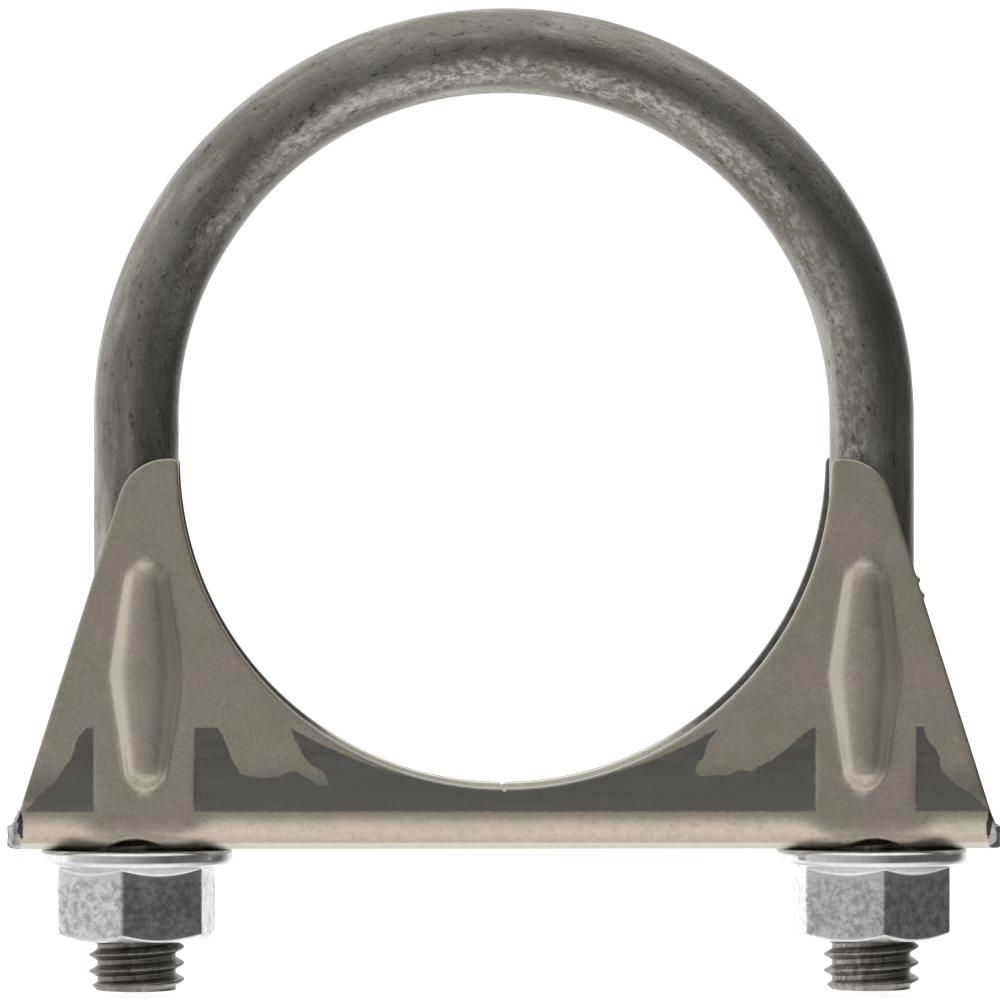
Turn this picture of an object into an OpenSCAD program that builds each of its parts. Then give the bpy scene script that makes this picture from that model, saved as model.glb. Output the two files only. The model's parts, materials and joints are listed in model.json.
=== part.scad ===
// U-bolt clamp for round tube: a threaded U-bolt, a pressed saddle and two flange nuts.
//
// The origin is on the axis of the clamped tube, midway through the saddle.
// +X runs from leg to leg, +Y along the tube and +Z up towards the bow.

/* [Tube and U-bolt] */
// Outer diameter of the tube that the clamp grips
tube_d = 63.5; // [60:0.5:66]
// Diameter of the plain rod
rod_d = 8.4; // [8.2:0.1:8.6]
// Nut turns left to make before the bow meets the tube
open_turns = 2.6; // [0:0.1:4]
// Distance from the tube's axis down to the stud ends
stud_reach = 51.7; // [50:0.1:54]
// Length of the thread on each leg
thread_length = 25; // [22:0.5:28]

/* [Screw thread] */
// Advance of a nut in one turn
thread_pitch = 1.5875; // [1.5:0.0125:1.6]
// Diameter over the crests of the studs
crest_d = 9.4; // [9.2:0.05:9.6]
// Diameter at the roots of the studs
root_d = 7.6; // [7.5:0.05:7.7]
// Width of the narrow flat along each crest
crest_flat = 0.2; // [0.1:0.05:0.25]
// Radial gap between the stud's thread and the nut's thread
thread_gap = 0.15; // [0.12:0.01:0.2]
// Chamfer on the stud ends
stud_chamfer = 0.8; // [0.4:0.1:1]

/* [Saddle] */
// Length from tip to tip
saddle_length = 97.2; // [95:0.1:99]
// Depth over both walls, along the tube
saddle_depth = 14.4; // [14.4:0.1:16]
// Thickness of the steel sheet
sheet = 2.2; // [1.8:0.1:2.2]
// Outer radius of the bends between the web and the walls
bend_r = 4; // [3.5:0.1:4.5]
// Distance from the tube's axis down to the underside of the web
web_drop = 37.8; // [37.5:0.1:39]
// Height of the ear tops above the tube's axis
ear_rise = 0.35; // [0:0.05:0.5]
// Width over both ears at their tops, before the shoulders are rounded
ears_width = 72.6; // [72:0.1:74]
// Lean of the walls' sloping ends from vertical, in degrees
end_lean = 17.6; // [17:0.1:18]
// Radius of the shoulder at the outside of each ear
shoulder_r = 4.8; // [3:0.1:4.8]
// Radius at the inside of each ear
ear_tip_r = 0.7; // [0.4:0.1:1]
// How far the tips stand out past the ends of the bends
tip_bulge = 1.25; // [0.8:0.05:1.5]
// Diameter of the web holes that the legs pass through
leg_hole_d = 12; // [11.5:0.1:12.2]

/* [Embossed bulges] */
// Distance between the centrelines of the bulges
bulge_spacing = 69.8; // [69:0.1:72]
// Length of a bulge
bulge_length = 21.6; // [18:0.2:22]
// Width of a bulge at its middle
bulge_width = 6.6; // [6:0.1:7]
// Width of a bulge at its rounded ends
bulge_end_width = 3.4; // [3:0.1:4]
// How far a bulge stands out from the wall at its middle
bulge_height = 1.3; // [1:0.1:1.5]
// Distance from the tube's axis down to the middle of a bulge
bulge_drop = 20.6; // [20:0.1:21.5]

/* [Flange nuts] */
// Width across the flats of the hexagon
nut_flats = 14.3; // [14:0.1:14.5]
// Height of a nut
nut_height = 8.95; // [8:0.05:9]
// Diameter of the flange
flange_d = 18.8; // [18:0.1:19.4]
// Thickness of the flange's rim
flange_rim = 1.55; // [1.2:0.05:1.8]
// Radius on both edges of the rim
rim_r = 0.6; // [0.3:0.05:0.7]
// Slope of the flange's outer face, in degrees
flange_slope = 22; // [15:1:25]
// Slope of the chamfer on the hexagon's corners, in degrees
corner_chamfer = 30; // [20:1:35]
// Diameter of the countersink at each end of the thread
countersink_d = 10.4; // [10:0.1:10.8]
// Turn of the left nut's front flat towards +X, in degrees
left_nut_turn = 21; // [-30:1:30]
// Turn of the right nut's front flat towards +X, in degrees
right_nut_turn = -24; // [-30:1:30]

/* [Hidden] */

$fn = 96;
eps = 0.01;
flank_angle = 30;
steps_per_turn = 24;

steel_dark = [0.33, 0.32, 0.30];
steel_warm = [0.54, 0.51, 0.46];
zinc = [0.78, 0.79, 0.80];

leg_x = (tube_d + rod_d) / 2;
bow_z = open_turns * thread_pitch;
stud_end_z = -stud_reach;
thread_top_z = stud_end_z + thread_length;
web_z = -web_drop;
nut_outer_z = web_z - nut_height;

flank_width = (crest_d - root_d) / 2 * tan(flank_angle);
root_flat = thread_pitch - crest_flat - 2 * flank_width;

// ---------- screw thread ----------

// The four corners of the thread's outline at one step round the helix.
// Step 0 starts at z = 0, and a whole turn raises the outline by one pitch.
function helix_corners(step, grow) =
    let (
        turn = step / steps_per_turn,
        z = turn * thread_pitch,
        across = [cos(360 * turn), sin(360 * turn)],
        root = (root_d / 2 + grow) * across,
        crest = (crest_d / 2 + grow) * across
    )
    [
        [root.x, root.y, z],
        [root.x, root.y, z + root_flat],
        [crest.x, crest.y, z + root_flat + flank_width],
        [crest.x, crest.y, z + root_flat + flank_width + crest_flat]
    ];

// A right-handed screw from one whole turn to another, grown by a radial gap.
// Each strip joins one corner of the outline to the next, and the last corner
// joins the first corner one turn later, so the turns make one closed skin.
module screw(first_turn, last_turn, grow = 0) {
    first = first_turn * steps_per_turn;
    steps = (last_turn - first_turn) * steps_per_turn;
    corners = [for (i = [0 : steps]) each helix_corners(first + i, grow)];
    bottom = len(corners);
    top = bottom + 1;
    bottom_loop = [
        for (i = [0 : steps_per_turn]) 4 * i,
        3, 2, 1
    ];
    top_loop = [
        for (i = [steps - steps_per_turn : steps]) 4 * i + 3,
        4 * steps + 2, 4 * steps + 1, 4 * steps
    ];
    strips = [
        for (i = [0 : steps - 1], c = [0 : 3])
            let (
                a = 4 * i + c,
                b = a + 4,
                up = c < 3 ? 1 : 4 * steps_per_turn - 3
            )
            if (b + up < len(corners))
                each [[a, a + up, b + up], [a, b + up, b]]
    ];
    bottom_cap = [
        for (i = [0 : len(bottom_loop) - 1])
            [bottom, bottom_loop[i], bottom_loop[(i + 1) % len(bottom_loop)]]
    ];
    top_cap = [
        for (i = [0 : len(top_loop) - 1])
            [top, top_loop[(i + 1) % len(top_loop)], top_loop[i]]
    ];
    axis_ends = [
        [0, 0, first_turn * thread_pitch],
        [0, 0, (last_turn + 1) * thread_pitch]
    ];
    polyhedron(
        points = concat(corners, axis_ends),
        faces = concat(strips, bottom_cap, top_cap),
        convexity = 10
    );
}

// ---------- U-bolt ----------

// The threaded end of a leg, chamfered at its tip and run out at the rod.
// A core as thick as the roots goes on up into the rod, so the two are one.
module stud() {
    turns = ceil(thread_length / thread_pitch);
    run_out = crest_d / 2 - rod_d / 2 + eps;
    core_r = root_d / 2 - 0.1;
    core_reach = 1;
    translate([0, 0, stud_end_z])
        intersection() {
            screw(-1, turns + 1);
            rotate_extrude()
                polygon([
                    [0, 0],
                    [crest_d / 2 - stud_chamfer, 0],
                    [crest_d / 2 + eps, stud_chamfer + eps],
                    [crest_d / 2 + eps, thread_length - run_out],
                    [rod_d / 2 - eps, thread_length],
                    [core_r, thread_length],
                    [core_r, thread_length + core_reach],
                    [0, thread_length + core_reach]
                ]);
        }
}

module u_bolt() {
    color(steel_dark) {
        translate([0, 0, bow_z])
            rotate([90, 0, 0])
                rotate_extrude(angle = 180)
                    translate([leg_x, 0])
                        circle(d = rod_d);
        for (side = [-1, 1])
            translate([side * leg_x, 0, 0]) {
                translate([0, 0, bow_z])
                    mirror([0, 0, 1])
                        cylinder(d = rod_d, h = bow_z - thread_top_z);
                stud();
            }
    }
}

// ---------- saddle ----------

// A U section with round bottom corners, in the plane across the saddle
module u_section(half_width, floor_z, corner_r) {
    translate([-half_width, floor_z + corner_r])
        square([2 * half_width, ear_rise + 1 - floor_z - corner_r]);
    translate([corner_r - half_width, floor_z])
        square([2 * (half_width - corner_r), 2 * corner_r]);
    for (side = [-1, 1])
        translate([side * (half_width - corner_r), floor_z + corner_r])
            circle(r = corner_r);
}

// A straight length of U section, laid along X
module u_bar(half_width, floor_z, corner_r, length) {
    rotate([90, 0, 90])
        linear_extrude(length, center = true)
            u_section(half_width, floor_z, corner_r);
}

// The front view of one end of the saddle, to the right of the tube's axis
module side_outline() {
    tangent = shoulder_r * tan((90 - end_lean) / 2);
    corner = [ears_width / 2, ear_rise];
    floor_z = web_z + sheet;
    foot_x = corner.x + (corner.y - floor_z) * tan(end_lean);
    polygon([
        [-eps, corner.y],
        [corner.x - tangent, corner.y],
        corner + tangent * [sin(end_lean), -cos(end_lean)],
        [foot_x, floor_z],
        [saddle_length / 2, floor_z],
        [saddle_length / 2, web_z - 1],
        [-eps, web_z - 1]
    ]);
    translate([corner.x - tangent, corner.y - shoulder_r])
        circle(r = shoulder_r);
}

// Cuts the sharp corner between an ear's top and the scallop to a radius
module ear_tip_cut() {
    translate([tube_d / 2, ear_rise])
        difference() {
            translate([-1, -ear_tip_r])
                square([1 + ear_tip_r, ear_tip_r + 1]);
            translate([ear_tip_r, -ear_tip_r])
                circle(r = ear_tip_r);
        }
}

// The side view of the saddle, drawn through its whole depth
module side_profile() {
    rotate([90, 0, 0])
        linear_extrude(saddle_depth + 4, center = true)
            for (side = [0, 1])
                mirror([side, 0])
                    difference() {
                        side_outline();
                        ear_tip_cut();
                    }
}

// The plan of the saddle: straight sides between two rounded tips
module plan_profile() {
    half = saddle_depth / 2;
    tip_r = (half * half + tip_bulge * tip_bulge) / (2 * tip_bulge);
    centre_x = saddle_length / 2 - tip_r;
    translate([0, 0, web_z - 2])
        linear_extrude(web_drop + 4) {
            square([2 * centre_x, 2 * tip_r], center = true);
            for (side = [-1, 1])
                translate([side * centre_x, 0])
                    circle(r = tip_r);
        }
}

// A spindle standing inside a wall, of which one side swells out as the bulge.
// Its inner copy, smaller by the sheet's thickness, hollows the wall behind.
module bulge_spindle(smaller = 0) {
    half = bulge_width / 2;
    end_half = bulge_end_width / 2;
    middle_r = (half * half + bulge_height * bulge_height) / (2 * bulge_height);
    axis_depth = middle_r - bulge_height;
    end_r = sqrt(axis_depth * axis_depth + end_half * end_half);
    reach = bulge_length / 2 - end_half;
    translate([0, axis_depth - saddle_depth / 2, -bulge_drop])
        for (way = [0, 1])
            mirror([0, 0, way]) {
                cylinder(r1 = middle_r - smaller, r2 = end_r - smaller, h = reach);
                translate([0, 0, reach])
                    sphere(r = end_r - smaller);
            }
}

// Four spindles: one in each wall beside each leg
module bulges(smaller = 0) {
    for (side = [-1, 1], wall = [0, 1])
        translate([side * bulge_spacing / 2, 0, 0])
            mirror([0, wall, 0])
                bulge_spindle(smaller);
}

module saddle() {
    half = saddle_depth / 2;
    color(steel_warm)
        difference() {
            union() {
                intersection() {
                    u_bar(half, web_z, bend_r, saddle_length + 2);
                    side_profile();
                    plan_profile();
                }
                bulges();
            }
            u_bar(half - sheet, web_z + sheet, bend_r - sheet, saddle_length + 4);
            bulges(sheet);
            rotate([90, 0, 0])
                cylinder(d = tube_d, h = saddle_depth + 4, center = true, $fn = 180);
            for (side = [-1, 1])
                translate([side * leg_x, 0, web_z - 1])
                    cylinder(d = leg_hole_d, h = sheet + bend_r);
        }
}

// ---------- flange nuts ----------

// Hexagon with its corners chamfered at the outer face, with the face at z = 0
module hexagon() {
    corner_r = nut_flats / 2 / cos(30);
    slope = tan(corner_chamfer);
    drop = (corner_r - nut_flats / 2) * slope;
    intersection() {
        rotate([0, 0, 30])
            cylinder(r = corner_r, h = nut_height - flange_rim / 2, $fn = 6);
        rotate_extrude()
            polygon([
                [0, 0],
                [nut_flats / 2, 0],
                [corner_r + 1, drop + slope],
                [corner_r + 1, nut_height],
                [0, nut_height]
            ]);
    }
}

// Flange with a rounded rim and a sloping outer face, bearing at the top
module flange() {
    rim = flange_d / 2;
    inner = nut_flats / 2 - 1;
    slope = tan(flange_slope);
    rim_z = nut_height - flange_rim;
    rotate_extrude() {
        polygon([
            [0, nut_height],
            [rim - rim_r, nut_height],
            [rim - rim_r, rim_z],
            [inner, rim_z - (rim - rim_r - inner) * slope],
            [0, rim_z - (rim - rim_r - inner) * slope]
        ]);
        translate([rim - 2 * rim_r, rim_z + rim_r])
            square([2 * rim_r, flange_rim - 2 * rim_r]);
        for (z = [rim_z + rim_r, nut_height - rim_r])
            translate([rim - rim_r, z])
                circle(r = rim_r);
    }
}

// The threaded hole, with a countersink at each end
module nut_thread() {
    first_turn = floor((nut_outer_z - stud_end_z) / thread_pitch) - 2;
    last_turn = ceil((web_z - stud_end_z) / thread_pitch) + 1;
    translate([0, 0, stud_end_z - nut_outer_z])
        screw(first_turn, last_turn, thread_gap);
    sink_r = countersink_d / 2;
    for (way = [0, 1])
        translate([0, 0, way * nut_height])
            mirror([0, 0, way])
                translate([0, 0, -1])
                    cylinder(r1 = sink_r + 1, r2 = 0, h = sink_r + 1);
}

// One nut on its leg, with a flat turned from the front by the given angle
module nut(side, turn) {
    color(zinc)
        translate([side * leg_x, 0, nut_outer_z])
            difference() {
                rotate([0, 0, turn]) {
                    hexagon();
                    flange();
                }
                nut_thread();
            }
}

module left_nut() {
    nut(-1, left_nut_turn);
}

module right_nut() {
    nut(1, right_nut_turn);
}

u_bolt();
saddle();
left_nut();
right_nut();
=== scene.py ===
import json
import math

import bpy
import numpy as np
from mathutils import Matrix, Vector, noise
from mathutils.geometry import delaunay_2d_cdt


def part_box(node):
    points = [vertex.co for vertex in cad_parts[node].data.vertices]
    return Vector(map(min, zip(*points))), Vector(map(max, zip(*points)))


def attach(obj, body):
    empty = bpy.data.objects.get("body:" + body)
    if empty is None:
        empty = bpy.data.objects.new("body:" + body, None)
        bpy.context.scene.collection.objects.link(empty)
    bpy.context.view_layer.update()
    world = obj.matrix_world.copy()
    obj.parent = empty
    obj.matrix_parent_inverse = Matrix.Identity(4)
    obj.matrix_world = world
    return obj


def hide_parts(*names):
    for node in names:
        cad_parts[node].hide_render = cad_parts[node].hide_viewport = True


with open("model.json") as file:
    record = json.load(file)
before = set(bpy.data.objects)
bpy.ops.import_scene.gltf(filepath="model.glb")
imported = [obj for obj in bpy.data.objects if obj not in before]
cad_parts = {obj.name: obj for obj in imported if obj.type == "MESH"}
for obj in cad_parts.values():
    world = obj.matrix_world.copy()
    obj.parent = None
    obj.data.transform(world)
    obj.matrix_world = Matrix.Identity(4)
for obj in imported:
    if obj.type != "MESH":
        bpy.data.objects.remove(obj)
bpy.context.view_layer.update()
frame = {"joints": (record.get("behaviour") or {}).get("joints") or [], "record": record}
record = frame["record"]

# All the shapes below are worked out in millimetres, in the row frame.
MM = 1000.0


def box_mm(node):
    low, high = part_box(node)
    return np.array(low) * MM, np.array(high) * MM


joints = {j["name"]: j for j in frame["joints"]}
nut_coupling = next(c for c in record["behaviour"]["couplings"] if c["joint"] == "right_nut_turn")
PITCH = 2 * math.pi / abs(nut_coupling["ratio"]) * MM
LEG_X = joints["right_nut_turn"]["pos_m"][0] * MM
TUBE_R = record["mounts"][0]["dims"]["r_mm"]

bolt_low, bolt_high = box_mm("u_bolt")
saddle_low, saddle_high = box_mm("saddle")
nut_low, nut_high = box_mm("left_nut")

ROD_R = LEG_X - TUBE_R
STUD_END = bolt_low[2]
BOW_Z = bolt_high[2] - LEG_X - ROD_R
WEB_Z = saddle_low[2]
EAR_TOP = saddle_high[2]
SADDLE_HALF = saddle_high[0]
NUT_FACE = nut_low[2]
NUT_H = WEB_Z - NUT_FACE
FLANGE_R = (nut_high[0] - nut_low[0]) / 2


# ---------- meshes ----------

def add_piece(name, points_mm, faces, node, body, material):
    mesh = bpy.data.meshes.new(name)
    mesh.from_pydata((np.asarray(points_mm) / MM).tolist(), [], faces)
    mesh.validate()
    mesh.shade_smooth()
    piece = bpy.data.objects.new(name, mesh)
    bpy.context.scene.collection.objects.link(piece)
    mesh.materials.append(material)
    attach(piece, body)
    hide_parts(node)
    return piece


def loop_faces(first, second, count):
    """Quads between two closed rows of points, each row given by the index of its first."""
    return [
        (first + i, first + (i + 1) % count, second + (i + 1) % count, second + i)
        for i in range(count)
    ]


def smoothstep(x, low, high):
    t = np.clip((x - low) / (high - low), 0, 1)
    return t * t * (3 - 2 * t)


def smooth_min(a, b, k):
    h = np.clip(0.5 + 0.5 * (b - a) / k, 0, 1)
    return b * (1 - h) + a * h - k * h * (1 - h)


def smooth_max(a, b, k):
    return -smooth_min(-a, -b, k)


def wander(x, y, z, scale, seed):
    """Smooth noise from about -1 to 1 at a point in millimetres."""
    return noise.noise((x * scale + seed, y * scale - seed, z * scale + 2 * seed))


# ---------- screw thread ----------

CREST_R, ROOT_R = 4.68, 3.84
CREST_FLAT = 0.16
# The axial width of a 60 degree thread ridge from root to root, less its flat crest.
RIDGE_BASE = (CREST_R - ROOT_R) * math.tan(math.radians(30)) * 2
STUD_LENGTH = 25
# Over this length the thread fades into the plain rod.
THREAD_FADE = 2.6
END_CHAMFER = 0.75


def thread_radius(angle, z, crest=CREST_R, root=ROOT_R, flat=CREST_FLAT):
    """Radius of the thread, rounded at crests and roots, at an angle round the stud and a height."""
    turns = (z - STUD_END) / PITCH - angle / (2 * math.pi)
    crest_at = 1 - (CREST_FLAT + RIDGE_BASE) / 2 / PITCH
    off = np.abs((turns - crest_at + 0.5) % 1 - 0.5) * PITCH
    flank = crest - (off - flat / 2) / math.tan(math.radians(30))
    return smooth_max(smooth_min(flank, np.full_like(off, crest), 0.1), np.full_like(off, root), 0.14)


# ---------- U-bolt ----------

def build_u_bolt(material):
    """The rod as rings along its run. "unrolled" carries each point's place along and round the rod."""
    around = 96
    phi = np.arange(around) * 2 * math.pi / around
    thread_top = STUD_END + STUD_LENGTH
    fine = np.arange(STUD_END + 0.9, thread_top + 0.4, PITCH / 20)
    leg_z = np.concatenate([
        STUD_END + np.array([0, 0.06, 0.16, 0.3, 0.45, 0.6, 0.75]), fine,
        np.arange(fine[-1] + 0.6, BOW_Z - 0.2, 0.9),
    ])
    bend = np.linspace(0, math.pi, 109)
    # Up the right leg, round the bow and down the left leg, each as (side, height, angle).
    stations = [(+1, z, None) for z in leg_z]
    stations += [(0, None, turn) for turn in bend]
    stations += [(-1, z, None) for z in leg_z[::-1]]

    points, unrolled = [], []
    along, last = 0.0, None
    for side, z, turn in stations:
        if side:
            centre = np.array([side * LEG_X, 0, z])
            outward = np.array([side, 0, 0])
            angle = phi if side > 0 else math.pi - phi
            rod = np.full(around, ROD_R)
            blend = smoothstep(z, thread_top - THREAD_FADE, thread_top)
            tip = CREST_R - END_CHAMFER + (z - STUD_END)
            r = thread_radius(angle, np.full(around, z))
            # The crests are rolled and worn unevenly.
            wear = np.array([
                wander(side * 9 + 4 * math.cos(a), 4 * math.sin(a), z, 0.5, 3.1) for a in angle
            ])
            r = r - 0.05 * np.clip(wear + 0.15, 0, 1) * smoothstep(r, ROOT_R, CREST_R)
            if z < STUD_END + 2:
                r = smooth_min(r, np.full(around, tip), 0.12)
            r = r * (1 - blend) + rod * blend
        else:
            centre = np.array([LEG_X * math.cos(turn), 0, BOW_Z + LEG_X * math.sin(turn)])
            outward = np.array([math.cos(turn), 0, math.sin(turn)])
            r = np.full(around, ROD_R)
        along += 0 if last is None else float(np.linalg.norm(centre - last))
        last = centre
        ring = centre + np.outer(r * np.cos(phi), outward)
        ring[:, 1] += r * np.sin(phi)
        if not side or z > thread_top:
            # The rolled and bent rod isn't quite even.
            dip = np.array([
                0.5 + 0.5 * wander(px, py * 2, pz, 0.09, 7.3) + 0.2 * wander(px, py, pz, 0.4, 1.7)
                for px, py, pz in ring
            ])
            ring -= ((ring - centre).T * (0.02 * np.clip(dip, 0, 1))).T
        points.append(ring)
        unrolled.append(np.column_stack([
            np.full(around, along), ROD_R * np.cos(phi), ROD_R * np.sin(phi),
        ]))
    faces = []
    for i in range(len(points) - 1):
        faces += loop_faces(i * around, (i + 1) * around, around)
    points, unrolled = np.vstack(points), np.vstack(unrolled)

    # The sheared ends: slightly hollow and uneven, closed by one small face.
    for first, side in ((0, 1), (len(points) - around, -1)):
        row, centre = first, np.array([side * LEG_X, 0, STUD_END])
        rim = points[first:first + around]
        caps, caps_unrolled = [], []
        for share in (0.93, 0.7, 0.4, 0.12):
            ring = centre + (rim - centre) * share
            ring[:, 2] = STUD_END + np.array([
                0.10 * (1 - share) + 0.05 * (wander(p[0], p[1], 0, 0.45, 5.5) + 0.6) for p in ring
            ])
            caps.append(ring)
            caps_unrolled.append(unrolled[first:first + around] * [1, share, share])
        start = len(points)
        points = np.vstack([points, *caps])
        unrolled = np.vstack([unrolled, *caps_unrolled])
        for i in range(len(caps)):
            quads = loop_faces(row, start + i * around, around)
            faces += [q[::-1] for q in quads] if side > 0 else quads
            row = start + i * around
        end = list(range(row, row + around))
        faces.append(end[::-1] if side > 0 else end)
    piece = add_piece("u_bolt_rod", points, faces, "u_bolt", "u_bolt", material)
    layer = piece.data.attributes.new("unrolled", "FLOAT_VECTOR", "POINT")
    layer.data.foreach_set("vector", unrolled.astype(np.float32).ravel())
    return piece


# ---------- flange nuts ----------

def rounded_path(corners):
    """Points of a closed path through (r, h, radius, n) corners, each rounded in n steps, or sharp."""
    out = []
    for i, (r, h, radius, n) in enumerate(corners):
        here = np.array([r, h])
        if n == 0:
            out.append(here)
            continue
        a = np.array(corners[i - 1][:2]) - here
        b = np.array(corners[i + 1][:2]) - here
        la, lb = np.linalg.norm(a), np.linalg.norm(b)
        a, b = a / la, b / lb
        half = math.acos(np.clip(a @ b, -1, 1)) / 2
        reach = min(radius / math.tan(half), 0.49 * la, 0.49 * lb)
        radius = reach * math.tan(half)
        middle = here + (a + b) / np.linalg.norm(a + b) * radius / math.sin(half)
        start, stop = here + a * reach - middle, here + b * reach - middle
        sweep = math.atan2(start[0] * stop[1] - start[1] * stop[0], start @ stop)
        for k in range(n + 1):
            t = sweep * k / n
            c, s = math.cos(t), math.sin(t)
            out.append(middle + np.array([start[0] * c - start[1] * s, start[0] * s + start[1] * c]))
    return out


def build_nut(name, node, body, side, turn, material):
    """A flange nut on one leg, with a corner turned so many degrees from the front."""
    flats, corner_r = 7.15, 0.55
    half_flat = (flats - corner_r) * math.tan(math.radians(30))
    to_corner = (flats - corner_r) / math.cos(math.radians(30))
    edge = math.atan2(half_flat, flats)
    across = np.concatenate([
        np.linspace(-edge, edge, 11),
        np.linspace(edge, math.pi / 3 - edge, 7)[1:-1],
    ])
    angles = np.concatenate([across + k * math.pi / 3 for k in range(6)])
    front = math.radians(turn) - math.pi / 2
    rim_r, rim_low = 0.7, NUT_H - 1.55
    rim_in = FLANGE_R - rim_r
    sink_r, face_r = 5.2, 6.85
    chamfer, cone_slope = math.tan(math.radians(29)), math.tan(math.radians(22))
    bore_h = np.arange(0.55, NUT_H - 0.5, PITCH / 16)
    rows = []
    for local in angles:
        off = (local + math.pi / 6) % (math.pi / 3) - math.pi / 6
        if abs(off) <= edge:
            hexagon = flats / math.cos(off)
        else:
            psi = math.pi / 6 - abs(off)
            round_off = math.sqrt(corner_r ** 2 - (to_corner * math.sin(psi)) ** 2)
            hexagon = to_corner * math.cos(psi) + round_off
        drop = (hexagon - face_r) * chamfer
        cone = rim_low - (rim_in - hexagon) * cone_slope
        # From the countersink of the outer face, over the hexagon and the flange, to the other one.
        path = rounded_path([
            (sink_r, 0, 0.1, 2), (5.9, 0, 0, 0), (face_r, 0, 0.5, 4), (hexagon, drop, 0.28, 4),
            (hexagon, (drop + cone) * 0.35, 0, 0), (hexagon, (drop + cone) * 0.6, 0, 0),
            (hexagon, cone, 0.8, 6), ((hexagon + rim_in) / 2, (cone + rim_low) / 2, 0, 0),
            (FLANGE_R - 0.22, rim_low, 0.9, 4), (FLANGE_R, rim_low + 0.5, 0.6, 4),
            (FLANGE_R, NUT_H, rim_r, 5), (7.6, NUT_H, 0, 0), (6.2, NUT_H, 0, 0),
            (sink_r, NUT_H, 0.1, 2), (5.0, NUT_H - 0.45, 0, 0),
        ])[:-1]
        world = local + front
        bore = thread_radius(world, NUT_FACE + bore_h, crest=ROOT_R + 1.02, root=ROOT_R + 0.18, flat=0.1)
        sink = sink_r - np.minimum(bore_h, NUT_H - bore_h)
        bore = np.maximum(bore, sink)
        r, h = np.vstack([path, np.column_stack([bore, bore_h])[::-1]]).T
        rows.append(np.column_stack([
            side * LEG_X + r * math.cos(world), r * math.sin(world), NUT_FACE + h,
        ]))
    count = len(rows[0])
    points = np.vstack(rows)
    faces = []
    for i in range(len(rows)):
        a, b = i * count, (i + 1) % len(rows) * count
        faces += loop_faces(b, a, count)
    return add_piece(name, points, faces, node, body, material)


# ---------- saddle ----------

# The sheet's thickness, the outside radius of its bends and half the depth over both walls.
SHEET = 2.2
BEND_R = 4.0
DEPTH = 7.2
# The walls' sloping ends: how far they run outwards for each millimetre down, and where they start.
END_LEAN = math.radians(17.6)
END_SLOPE = math.tan(END_LEAN)
EAR_X = 36.3
SHOULDER_R = 4.8
# Across the flat sheet, (u, v) is the way along the clamp and the way from the web's middle up a wall.
MID_R = BEND_R - SHEET / 2
FLAT_HALF = DEPTH - BEND_R
BEND_END = FLAT_HALF + MID_R * math.pi / 2
BEND_TOP = WEB_Z + BEND_R
# The middle of a bulge, its half width there, its taper towards the ends and its height.
BULGE_X, BULGE_Z = 34.9, -20.6
BULGE_HALF = 3.42
BULGE_TAPER = 0.155
BULGE_RISE = 1.25
# The plain column of each wall, between its two patches of scale.
COLUMN = (30.2, 39.9)
# Heights of the two burrs on the front wall's right end, with their sizes.
BURRS = ((-11.4, 0.3), (-12.9, 0.24))


def fold(u, v, lift):
    """Where a point of the flat sheet is on the folded saddle.

    lift is its height off the middle of the sheet.
    """
    side = np.where(v < 0, -1.0, 1.0)
    v = np.abs(v)
    # Beside the legs the bend is tighter, because the punched hole weakens it there.
    near = smoothstep(np.abs(np.abs(u) - LEG_X + 0.6), 7.6, 3.4)
    outer = BEND_R - 1.7 * near
    mid = outer - SHEET / 2
    flat, arc = DEPTH - outer, mid * math.pi / 2
    total = flat + arc + (BEND_R - outer)
    s = np.where(v < BEND_END, v * total / BEND_END, total + v - BEND_END)
    angle = np.clip((s - flat) / mid, 0, math.pi / 2)
    rise = np.maximum(s - flat - arc, 0)
    y = np.minimum(s, flat) + mid * np.sin(angle)
    z = WEB_Z + SHEET / 2 + mid * (1 - np.cos(angle)) + rise
    return np.column_stack([u, side * (y + lift * np.sin(angle)), z - lift * np.cos(angle)])


def sheet_v(z):
    return BEND_END + z - BEND_TOP


def sheet_z(v):
    v = np.abs(v)
    inside = np.clip((v - FLAT_HALF) / MID_R, 0, math.pi / 2)
    return np.where(v < BEND_END, WEB_Z + SHEET / 2 + MID_R * (1 - np.cos(inside)), BEND_TOP + v - BEND_END)


def arc_points(centre, radius, start, stop, step):
    n = max(2, int(abs(stop - start) * radius / step))
    t = np.linspace(start, stop, n)
    return np.column_stack([centre[0] + radius * np.cos(t), centre[1] + radius * np.sin(t)])


def wall_outline():
    """One wall's edge in (x, z): up its right end, over the ears and the scallop, down its left end."""
    tip_r = 0.7
    tangent = SHOULDER_R * math.tan((math.pi / 2 - END_LEAN) / 2)
    centre = (EAR_X - tangent, EAR_TOP - SHOULDER_R)
    shoulder = arc_points(centre, SHOULDER_R, END_LEAN, math.pi / 2, 0.3)
    start = shoulder[0]
    low_z = BEND_TOP + 0.4
    n = int((start[1] - low_z) / 0.12)
    z = np.linspace(low_z, start[1], n)[:-1]
    slope = np.column_stack([EAR_X + (EAR_TOP - z) * END_SLOPE, z])
    tip = arc_points((TUBE_R + tip_r + 0.01, EAR_TOP - tip_r), tip_r, math.pi / 2, math.pi, 0.15)
    top = np.linspace(shoulder[-1], tip[0], 5)[1:-1]
    low = math.asin(-tip_r / TUBE_R) + 2 * math.pi
    scallop = arc_points((0, 0), TUBE_R, low, 1.5 * math.pi, 0.08)
    right = np.vstack([slope, shoulder, top, tip, scallop])
    left = right[::-1][1:] * [-1, 1]
    return np.vstack([right, left])


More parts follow.
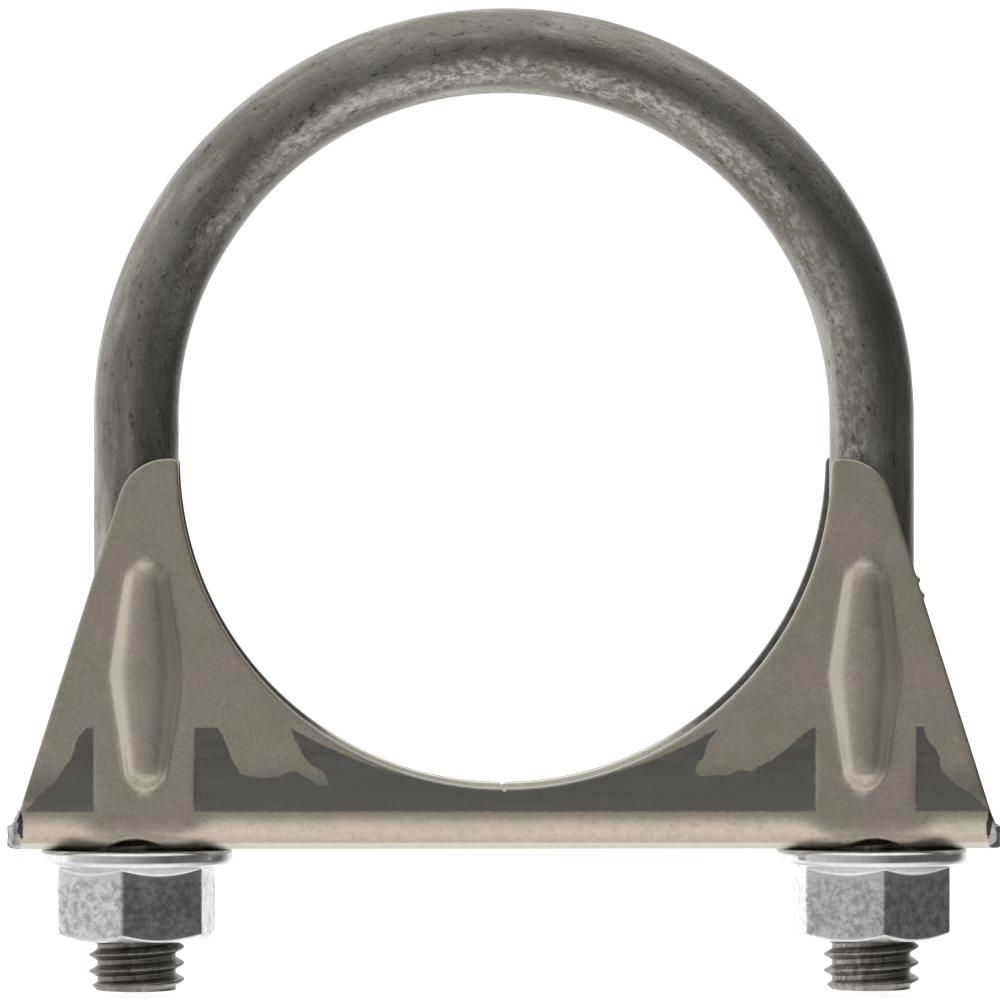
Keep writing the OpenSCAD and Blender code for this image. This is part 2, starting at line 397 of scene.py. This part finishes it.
def sheet_end(v, outer):
    """How far the sheet reaches at its end, in the web and the bends, on its outer or inner face."""
    v = np.abs(v)
    angle = np.clip((v - FLAT_HALF) / MID_R, 0, math.pi / 2)
    y = np.minimum(v, FLAT_HALF) + MID_R * np.sin(angle)
    z = sheet_z(v) + np.cos(angle) * SHEET / 2 * (-1 if outer else 1)
    bulge = 1.25
    tip_r = (DEPTH ** 2 + bulge ** 2) / (2 * bulge)
    plan = SADDLE_HALF - tip_r + np.sqrt(tip_r ** 2 - y ** 2)
    slope = EAR_X + (EAR_TOP - z) * END_SLOPE
    torn = smoothstep(-v, -7.3, -6.6)
    return slope * (1 - torn) + plan * torn


def outline(outer):
    """The flat sheet's rim, anticlockwise, as rows (u, v, du, dv): the rim, and small damage on it."""
    wall = wall_outline()
    back = np.column_stack([wall[:, 0], sheet_v(wall[:, 1])])
    v_low = back[0, 1]
    v = np.linspace(v_low, -v_low, 110)[1:-1]
    left = np.column_stack([-sheet_end(v, outer), v])
    front = np.column_stack([back[::-1, 0], -back[::-1, 1]])
    loop = np.vstack([back, left, front, np.column_stack([sheet_end(v, outer), -v])])
    # The tips are torn off unevenly.
    u, v = loop[:, 0].copy(), loop[:, 1].copy()
    tip = (np.abs(u) > 46) * smoothstep(-np.abs(v), -7.2, -6.6)
    face = 0.0 if outer else 1.1
    tear = np.array([wander(7 * np.sign(a), b, face, 0.55, 4.2) for a, b in loop])
    loop[:, 0] -= np.sign(u) * tip * np.clip(0.25 + 1.0 * tear, 0, 0.9)
    # Fine jags on the tips, a nick in the scallops, and burrs on one sloping edge.
    jags = np.array([wander(3 * np.sign(a), b, face, 1.9, 8.1) for a, b in loop])
    z = sheet_z(v)
    burr = sum(size * np.exp(-((z - at) / 0.28) ** 2) for at, size in BURRS)
    nick = np.exp(-((u + 0.1) / 0.13) ** 2) * (np.abs(v) > BEND_END)
    across = -np.sign(u) * tip * np.clip(0.5 * jags, 0, 0.3) + burr * (u > 35) * (v < 0)
    return np.column_stack([loop, across, -np.sign(v) * nick * 0.34])


def leg_hole(side, outer):
    """The rim of a leg's hole, clockwise. It is wider on the inner face."""
    half_u, half_v = (6.0, 5.55) if outer else (6.3, 6.6)
    t = np.linspace(0, -2 * math.pi, 84, endpoint=False)
    return np.column_stack([side * LEG_X + half_u * np.cos(t), half_v * np.sin(t), 0 * t, 0 * t])


def resample(loop, count):
    """The closed loop as so many even steps, closer together at the small nicks and burrs."""
    closed = np.vstack([loop, loop[:1]])
    gap = np.linalg.norm(np.diff(closed[:, :2], axis=0), axis=1)
    middle = (closed[1:] + closed[:-1]) / 2
    at_nick = np.abs(middle[:, 0]) < 0.5
    at_burr = (middle[:, 0] > 35) & (np.abs(sheet_z(middle[:, 1]) + 12) < 1.8)
    small = at_nick | at_burr
    at = np.concatenate([[0], np.cumsum(gap * np.where(small, 3.5, 1.0))])
    want = np.linspace(0, at[-1], count, endpoint=False)
    return np.column_stack([np.interp(want, at, closed[:, k]) for k in range(4)])


def inward(loop):
    """Unit normals to the left of an evenly spaced loop, which is its inside."""
    along = np.roll(loop, -1, axis=0) - np.roll(loop, 1, axis=0)
    along /= np.linalg.norm(along, axis=1)[:, None]
    return np.column_stack([-along[:, 1], along[:, 0]])


def inside_loops(points, loops):
    """True for each point inside the first loop and outside the others, by counting crossings."""
    inside = np.zeros(len(points), bool)
    x, y = points[:, 0], points[:, 1]
    for loop in loops:
        a, b = loop, np.roll(loop, -1, axis=0)
        for (ax, ay), (bx, by) in zip(a, b):
            if ay == by:
                continue
            hit = ((ay > y) != (by > y)) & (x < (bx - ax) * (y - ay) / (by - ay) + ax)
            inside ^= hit
    return inside


def far_from(points, loops, least):
    """True for each point at least so far from every point of the loops."""
    keep = np.ones(len(points), bool)
    for loop in loops:
        for start in range(0, len(points), 4000):
            part = points[start:start + 4000]
            gap = np.linalg.norm(part[:, None] - loop[None], axis=2).min(axis=1)
            keep[start:start + 4000] &= gap > least
    return keep


def bulge_height(x, z):
    """Height of the embossed bulges on a wall: long hexagons, rounded on top and steepest at the foot."""
    across, up = np.abs(x) - BULGE_X, z - BULGE_Z
    half = BULGE_HALF - BULGE_TAPER * (np.sqrt(up * up + 0.7) - math.sqrt(0.7))
    past_end = np.where(up > 0, (up - 8.2) / 3.0, (-up - 9.0) / 2.2).clip(0, 3)
    out = np.hypot(across / half, past_end)
    crown = smooth_max(1 - out ** 2.7, np.zeros_like(out), 0.16)
    return BULGE_RISE * crown * (1 - 0.25 * smoothstep(up, 2, 10))


def relief(u, v):
    """How far a place on the sheet stands out: the bulges, and the foot sunk beside the columns."""
    z = sheet_z(v)
    across = np.abs(u)
    on_wall = smoothstep(np.abs(v), BEND_END + 0.2, BEND_END + 1.2)
    lift = np.where(np.abs(v) > BEND_END, bulge_height(u, z), 0)
    column = smoothstep(across, COLUMN[0] - 0.12, COLUMN[0] + 0.14)
    column *= smoothstep(-across, -COLUMN[1] - 0.12, -COLUMN[1] + 0.14)
    low = smoothstep(-z, 26.0, 32.4) * (1 - smoothstep(-z, 33.6, 34.2))
    return lift - 0.1 * on_wall * low * (1 - column)


def skin(outer, spacing):
    """One face of the sheet: its points, its faces, and the first index and length of each edge loop."""
    sign = 1 if outer else -1
    loops = [resample(outline(outer), 980)] + [leg_hole(s, outer) for s in (1, -1)]
    # The rolled edge, as pairs of the distance in from the rim and the drop there.
    if outer:
        roll = [(0, 0.2), (0.04, 0.1), (0.1, 0.045), (0.2, 0.012), (0.32, 0.0)]
    else:
        roll = [(0, 0.10), (0.05, 0.03), (0.12, 0.0)]
    flat_points, lifts, quads, firsts, inner = [], [], [], [], []
    index = 0
    for loop in loops:
        loop, damage = loop[:, :2], loop[:, 2:]
        normal = inward(loop)
        firsts.append(index)
        for k, (inset, drop) in enumerate(roll):
            ring = loop + normal * inset + damage * (1 - inset / roll[-1][0])
            flat_points.append(ring)
            lifts.append(np.full(len(loop), SHEET / 2 - drop))
            if k:
                quads += loop_faces(index - len(loop), index, len(loop))
            index += len(loop)
        inner.append((index - len(loop), ring))
    edge_points = np.vstack([ring for _, ring in inner])

    # The grid between the rims is finer over the bulges and at the columns' sides.
    fine = np.unique(np.round(np.concatenate([
        np.arange(-48.4, 48.4, spacing),
        *[s * np.arange(BULGE_X - 4.4, BULGE_X + 4.4, 0.32) for s in (1, -1)],
        *[s * (c + np.linspace(-0.2, 0.2, 4)) for s in (1, -1) for c in COLUMN],
    ]), 4))
    u = fine[np.concatenate([[True], np.diff(fine) > 0.12])]
    wall = np.concatenate([
        np.arange(sheet_v(BULGE_Z) - 11.4, sheet_v(BULGE_Z) + 11.4, 0.5),
        np.arange(BEND_END, BEND_END + 42, spacing),
    ])
    wall = np.sort(wall)
    wall = wall[np.concatenate([[True], np.diff(wall) > 0.3])]
    v = np.concatenate([np.arange(0, BEND_END, 0.36), wall])
    v = np.concatenate([-v[:0:-1], v])
    grid = np.array(np.meshgrid(u, v)).reshape(2, -1).T
    grid = grid[inside_loops(grid, [ring for _, ring in inner])]
    grid = grid[far_from(grid, [ring for _, ring in inner], 0.26)]

    edges, at = [], 0
    for _, ring in inner:
        edges += [(at + i, at + (i + 1) % len(ring)) for i in range(len(ring))]
        at += len(ring)
    coords = [Vector(p) for p in np.vstack([edge_points, grid]).tolist()]
    made, _, tris, origin, _, _ = delaunay_2d_cdt(coords, edges, [], 0, 1e-6)
    assert len(made) == len(coords)
    corners = np.array(made)[np.array(tris)]
    one, two = corners[:, 1] - corners[:, 0], corners[:, 2] - corners[:, 0]
    # Slivers along the straight edges have no area worth a face.
    wide = one[:, 0] * two[:, 1] - one[:, 1] * two[:, 0] > 0.002
    keep = wide & inside_loops(corners.mean(axis=1), [ring for _, ring in inner])
    back = [first + np.arange(len(ring)) for first, ring in inner]
    back = np.concatenate(back + [index + np.arange(len(grid))])
    order = {i: back[origin[i][0]] for i in range(len(made))}
    faces = quads + [tuple(int(order[i]) for i in t) for t, k in zip(tris, keep) if k]
    flat = np.vstack(flat_points + [grid])
    lift = np.concatenate(lifts + [np.full(len(grid), SHEET / 2)])
    raised = relief(flat[:, 0], flat[:, 1])
    points = fold(flat[:, 0], flat[:, 1], sign * lift + raised)
    if outer:
        faces = [f[::-1] for f in faces]
    return points, faces, [(f, len(loop)) for f, loop in zip(firsts, loops)]


def build_saddle(material):
    outer, outer_faces, outer_loops = skin(True, 0.9)
    inner, inner_faces, inner_loops = skin(False, 1.6)
    base = len(outer)
    faces = outer_faces + [tuple(i + base for i in f) for f in inner_faces]
    for (a, n), (b, m) in zip(outer_loops, inner_loops):
        assert n == m, (n, m)
        faces += loop_faces(a, b + base, n)
    points = np.vstack([outer, inner])
    return add_piece("saddle_pressing", points, faces, "saddle", "saddle", material)


# ---------- materials ----------

class Shader:
    """Short names for the nodes of one node tree."""

    def __init__(self, tree):
        self.tree = tree
        tree.nodes.clear()

    def add(self, kind, inputs=(), **settings):
        node = self.tree.nodes.new(kind)
        for name, value in settings.items():
            setattr(node, name, value)
        for key, value in dict(inputs).items():
            if isinstance(value, bpy.types.NodeSocket):
                self.tree.links.new(value, node.inputs[key])
            else:
                node.inputs[key].default_value = value
        return node

    def math(self, operation, *values):
        return self.add("ShaderNodeMath", dict(enumerate(values)), operation=operation).outputs[0]

    def times(self, first, *values):
        for value in values:
            first = self.math("MULTIPLY", first, value)
        return first

    def plus(self, first, *values):
        for value in values:
            first = self.math("ADD", first, value)
        return first

    def minus(self, a, b):
        return self.math("SUBTRACT", a, b)

    def size(self, value):
        return self.math("ABSOLUTE", value)

    def step(self, value, low, high):
        """0 up to low and 1 from high on, smooth between them. high may be the smaller one."""
        inputs = {"Value": value, "From Min": low, "From Max": high}
        return self.add("ShaderNodeMapRange", inputs, interpolation_type="SMOOTHSTEP").outputs[0]

    def mix(self, factor, a, b):
        a, b = ((*c, 1) if isinstance(c, tuple) else c for c in (a, b))
        return self.add("ShaderNodeMix", {0: factor, 6: a, 7: b}, data_type="RGBA").outputs[2]

    def blend(self, factor, a, b):
        return self.add("ShaderNodeMix", {0: factor, 2: a, 3: b}, data_type="FLOAT").outputs[0]

    def noise(self, vector, scale, detail, roughness):
        inputs = {"Vector": vector, "Scale": scale, "Detail": detail, "Roughness": roughness}
        return self.add("ShaderNodeTexNoise", inputs).outputs[0]

    def scaled(self, vector, x, y, z):
        return self.add("ShaderNodeVectorMath", {0: vector, 1: (x, y, z)}, operation="MULTIPLY").outputs[0]

    def split(self, vector):
        return self.add("ShaderNodeSeparateXYZ", {0: vector}).outputs[:]


def new_material(name):
    material = bpy.data.materials.new(name)
    material.use_nodes = True
    return material, Shader(material.node_tree)


def finish_material(s, colour, roughness, height, bump):
    normal = s.add("ShaderNodeBump", {"Height": height, "Strength": bump, "Distance": 0.0001}).outputs[0]
    shader = s.add("ShaderNodeBsdfPrincipled", {
        "Base Color": colour, "Metallic": 1.0, "Roughness": roughness, "Normal": normal,
    })
    s.add("ShaderNodeOutputMaterial", {"Surface": shader.outputs[0]})


def object_mm(s):
    return s.scaled(s.add("ShaderNodeTexCoord").outputs["Object"], MM, MM, MM)


def rod_material():
    """Hot-rolled rod with scale, in millimetres along the rod, outwards from the bow and sideways."""
    material, s = new_material("hot_rolled_rod")
    rod = s.add("ShaderNodeAttribute", attribute_name="unrolled").outputs["Vector"]
    along, out, _ = s.split(rod)
    streaks = s.noise(s.scaled(rod, 0.07, 0.42, 0.42), 1.0, 5.0, 0.62)
    blotches = s.noise(s.scaled(rod, 0.16, 0.3, 0.3), 1.0, 4.0, 0.6)
    grain = s.noise(rod, 2.6, 4.0, 0.7)
    pits = s.noise(s.scaled(rod, 0.7, 1.3, 1.3), 1.0, 5.0, 0.72)
    chips = s.noise(s.scaled(rod, 1.0, 1.5, 1.5), 1.0, 5.0, 0.75)
    worn = s.step(s.plus(streaks, s.times(grain, 0.28)), 0.50, 0.86)
    colour = s.mix(worn, (0.20, 0.184, 0.165), (0.42, 0.40, 0.365))
    # The inside of the bow is scuffed through the scale in specks.
    inside = s.times(s.step(out, 0.6, -1.6), s.step(out, -4.0, -2.9), s.step(along, 178.0, 140.0))
    scuffed = s.times(s.step(s.plus(chips, s.times(inside, 0.08)), 0.52, 0.68), inside)
    colour = s.mix(s.times(scuffed, 0.75), colour, (0.58, 0.535, 0.485))
    colour = s.mix(s.step(blotches, 0.40, 0.62), colour, s.mix(0.5, colour, (0.20, 0.186, 0.14)))
    colour = s.mix(s.times(s.step(pits, 0.56, 0.68), 0.8), colour, (0.075, 0.07, 0.062))
    roughness = s.plus(0.42, s.times(grain, -0.12), s.times(worn, -0.06))
    height = s.plus(s.times(grain, 0.6), s.times(pits, -0.9))
    finish_material(s, colour, roughness, height, 0.6)
    return material


def scale_patches(s, place, x, z, across, speck):
    """Where dark scale is left on the walls, because the pressing tool did not touch them there.

    The distances are in millimetres, positive inside the scale: beside the columns, below the scallops
    and down to the bend.
    """
    ragged = s.times(s.minus(s.noise(place, 0.36, 2.0, 0.35), 0.5), 2.6)
    fine = s.times(s.minus(speck, 0.5), 0.3)
    drop = s.minus(-25.7, z)
    foot = s.plus(z, 33.95)
    fin = s.times(drop, s.plus(0.3, s.times(drop, 0.055)))
    sloped = s.minus(s.plus(40.8, fin), across)
    outer = s.math("MINIMUM", s.minus(across, COLUMN[1]), s.plus(sloped, ragged))
    from_axis = s.math("SQRT", s.plus(s.times(x, x), s.times(z, z)))
    margin = s.times(s.math("POWER", s.math("DIVIDE", across, 20.0), 3.0), 1.15)
    below_scallop = s.minus(from_axis, s.plus(TUBE_R + 0.05, margin))
    width = s.minus(COLUMN[0], across)
    inner = s.math("MINIMUM", width, below_scallop)
    # The tool left its mark once more inside this area, on an island open to the top.
    left_edge = s.times(s.minus(width, 2.2), 2.4)
    right_edge = s.times(s.minus(width, 0.2), 0.82)
    edge = s.blend(s.step(x, -1.0, 1.0), left_edge, right_edge)
    bottom = s.plus(4.4, s.times(s.minus(width, 6.0), 0.15))
    island = s.math("SMOOTH_MIN", edge, bottom, 2.0)
    island = s.plus(s.minus(island, drop), ragged)
    far_side = s.minus(across, s.minus(20.9, s.times(drop, 0.62)))
    island = s.math("SMOOTH_MIN", island, s.plus(far_side, ragged), 1.6)
    inner = s.math("MINIMUM", inner, s.times(island, -1.0))
    inside = s.math("MINIMUM", s.math("MAXIMUM", inner, outer), s.math("MINIMUM", drop, foot))
    return s.step(s.plus(inside, fine), -0.1, 0.16)


def saddle_material():
    """Pressed sheet in the saddle's own millimetres: x along the clamp, y across the walls, z up."""
    material, s = new_material("pressed_sheet")
    place = object_mm(s)
    x, y, z = s.split(place)
    across, deep = s.size(x), s.size(y)
    cloud = s.noise(place, 0.17, 3.0, 0.55)
    tint = s.noise(place, 0.42, 4.0, 0.6)
    grain = s.noise(place, 2.8, 4.0, 0.7)
    speck = s.noise(place, 1.1, 3.0, 0.6)
    pits = s.noise(place, 1.6, 5.0, 0.75)
    colour = s.mix(s.step(cloud, 0.36, 0.62), (0.59, 0.495, 0.425), (0.495, 0.475, 0.36))
    colour = s.mix(s.times(s.step(tint, 0.45, 0.68), 0.7), colour, (0.63, 0.54, 0.43))
    colour = s.mix(s.times(s.step(grain, 0.36, 0.7), 0.5), colour, (0.35, 0.315, 0.265))
    colour = s.mix(s.times(s.step(pits, 0.62, 0.70), 0.5), colour, (0.16, 0.15, 0.13))
    # The flanks of the bulges are painted bright: a painted highlight on both flanks.
    up = s.size(s.minus(z, BULGE_Z))
    half = s.minus(3.5, s.times(up, BULGE_TAPER))
    flank = s.math("DIVIDE", s.size(s.minus(across, BULGE_X)), half)
    flank_highlight = s.times(s.step(flank, 0.45, 0.75), s.step(flank, 1.06, 0.96), s.step(up, 10.6, 9.4))
    colour = s.mix(s.times(flank_highlight, 0.8), colour, (0.82, 0.77, 0.625))
    # The bend along the foot is painted brighter and pinker: partly rubbed wear, partly a painted
    # highlight.
    rubbed_bend_and_highlight = s.times(s.step(z, -34.2, -35.3), s.step(speck, 0.25, 0.6))
    colour = s.mix(s.times(rubbed_bend_and_highlight, 0.6), colour, (0.66, 0.55, 0.46))

    # Scale is left in patches outside the walls. Inside them, except low down, the same dark is painted
    # shade.
    patches = s.times(scale_patches(s, place, x, z, across, speck), s.step(deep, 6.2, 6.7))
    inner_face = s.step(deep, 5.7, 5.2)
    # Painted shade: the inner faces are darkened everywhere except low down.
    inner_shade = s.times(inner_face, s.step(s.plus(z, s.times(speck, 3.0)), -26.5, -23.0))
    bands = s.noise(s.scaled(place, 0.1, 0.3, 0.8), 1.0, 3.0, 0.6)
    dark = s.mix(s.step(bands, 0.3, 0.7), (0.19, 0.178, 0.168), (0.245, 0.232, 0.217))
    dark = s.mix(s.times(s.step(grain, 0.4, 0.7), 0.5), dark, (0.15, 0.142, 0.135))
    dark = s.mix(s.times(s.step(s.plus(z, speck), -31.4, -32.6), 0.4), dark, (0.32, 0.305, 0.285))
    # Low down, the inner faces are painted pale: a painted highlight against the dark they reflect.
    colour = s.mix(s.times(inner_face, s.step(z, -24.0, -28.0)), colour, (0.86, 0.84, 0.74))
    colour = s.mix(s.math("MAXIMUM", patches, inner_shade), colour, dark)
    # The sheared edges of the walls are darker, partly their own colour and partly painted shade over the
    # rims' highlights.
    sheared_edge_and_shade = s.times(s.step(deep, 5.05, 5.2), s.step(deep, 7.17, 7.08), s.step(z, -33.4, -32.6))
    colour = s.mix(s.times(sheared_edge_and_shade, 0.75), colour, (0.24, 0.235, 0.20))
    # Painted shade along the underside of the bends.
    colour = s.mix(s.times(s.step(z, -36.9, -37.6), 0.55), colour, (0.30, 0.285, 0.235))
    # The torn tips are bare grey steel, with a painted shadow in a dark lens between them and the bends.
    bare = s.mix(s.step(speck, 0.36, 0.64), (0.20, 0.202, 0.192), (0.46, 0.472, 0.452))
    colour = s.mix(s.step(across, 47.0, 47.3), colour, bare)
    rise = s.math("DIVIDE", s.plus(z, 35.3), 1.5)
    lens = s.times(s.minus(1.0, s.times(rise, rise)), 0.3)
    tear = s.size(s.minus(s.plus(across, s.times(speck, 0.5)), 47.3))
    colour = s.mix(s.step(s.minus(lens, tear), -0.05, 0.08), colour, (0.05, 0.05, 0.045))
    roughness = s.plus(0.36, s.times(grain, 0.12))
    finish_material(s, colour, roughness, s.minus(grain, s.times(patches, 0.8)), 0.25)
    return material


def zinc_material():
    """Bright zinc plate, mottled on the hexagon's flats and smoother on the flange and the chamfers."""
    material, s = new_material("zinc_plate")
    place = object_mm(s)
    z = s.split(place)[2]
    mottle = s.noise(place, 1.3, 5.0, 0.7)
    cloud = s.noise(place, 0.45, 3.0, 0.6)
    flats = s.times(s.step(z, WEB_Z - 2.5, WEB_Z - 3.2), s.step(z, NUT_FACE + 0.35, NUT_FACE + 0.8))
    flats = s.plus(0.22, s.times(flats, 0.78))
    mottled = s.mix(s.step(mottle, 0.36, 0.64), (0.46, 0.472, 0.46), (0.84, 0.855, 0.845))
    colour = s.mix(flats, (0.76, 0.772, 0.768), mottled)
    roughness = s.plus(0.14, s.times(s.step(cloud, 0.35, 0.7), 0.16))
    finish_material(s, colour, roughness, s.times(mottle, flats), 0.22)
    return material


# ---------- studio ----------

def build_floor(scene):
    half, gap = 6.0, 0.0006
    z = STUD_END / MM - gap
    corners = [(-half, -half, z), (half, -half, z), (half, half, z), (-half, half, z)]
    mesh = bpy.data.meshes.new("floor")
    mesh.from_pydata(corners, [], [(0, 1, 2, 3)])
    floor = bpy.data.objects.new("floor", mesh)
    scene.collection.objects.link(floor)
    material, s = new_material("pale_floor")
    shader = s.add("ShaderNodeBsdfPrincipled", {
        "Base Color": (0.4, 0.4, 0.4, 1), "Roughness": 0.8,
        "Emission Color": (1, 1, 1, 1), "Emission Strength": 0.85,
    })
    s.add("ShaderNodeOutputMaterial", {"Surface": shader.outputs[0]})
    mesh.materials.append(material)
    # The metal mirrors the light tent below it and not this floor.
    floor.visible_glossy = False
    floor.visible_shadow = False


def build_studio():
    """A white floor in a light tent that is bright above, below, behind and on the left."""
    scene = bpy.context.scene
    scene.view_settings.view_transform = "Standard"
    build_floor(scene)
    world = bpy.data.worlds.new("studio")
    scene.world = world
    world.use_nodes = True
    s = Shader(world.node_tree)
    dx, dy, dz = s.split(s.add("ShaderNodeTexCoord").outputs["Generated"])
    # Degrees round from the front, positive to the right, then the tent's brightness there.
    turn = s.times(s.math("ARCTAN2", dx, s.times(dy, -1.0)), 180 / math.pi)
    near_level = s.step(s.size(dz), 0.8, 0.45)
    left = s.plus(s.times(s.step(turn, -36.0, -66.0), 0.18), s.times(s.step(turn, -78.0, -98.0), 0.62))
    left = s.times(left, near_level)
    front = s.plus(0.13, s.times(s.step(turn, 38.0, -30.0), 0.35))
    back = s.times(s.step(turn, 120.0, 160.0), 0.92)
    around = s.plus(left, s.plus(front, back))
    below = s.blend(s.step(dy, -0.3, 0.2), 1.15, 0.85)
    below = s.blend(s.step(dy, 0.5, 0.75), below, 1.6)
    light = s.blend(s.step(dz, 0.45, 0.92), around, 1.3)
    light = s.blend(s.step(dz, -0.25, -0.8), light, below)
    # The camera itself sees plain white behind the clamp.
    seen = s.add("ShaderNodeLightPath").outputs["Is Camera Ray"]
    strength = s.blend(seen, light, 1.02)
    background = s.add("ShaderNodeBackground", {"Color": (1, 1, 1, 1), "Strength": strength})
    s.add("ShaderNodeOutputWorld", {"Surface": background.outputs[0]})


def build_camera():
    """A long lens, almost square to the clamp, from a little left and above."""
    data = bpy.data.cameras.new("camera")
    data.lens, data.sensor_width = 350.0, 36.0
    data.clip_start, data.clip_end = 0.01, 50
    camera = bpy.data.objects.new("camera", data)
    bpy.context.scene.collection.objects.link(camera)
    aim = Vector((-0.0004, 0, -0.00384))
    camera.location = (-0.017, -0.95, 0.018)
    camera.rotation_euler = (aim - camera.location).to_track_quat("-Z", "Y").to_euler()
    bpy.context.scene.camera = camera


# How far each nut is turned at rest.
LEFT_TURN, RIGHT_TURN = 21, -24

build_u_bolt(rod_material())
build_saddle(saddle_material())
zinc = zinc_material()
build_nut("left_flange_nut", "left_nut", "left_nut", -1, LEFT_TURN, zinc)
build_nut("right_flange_nut", "right_nut", "right_nut", 1, RIGHT_TURN, zinc)
build_studio()
build_camera()
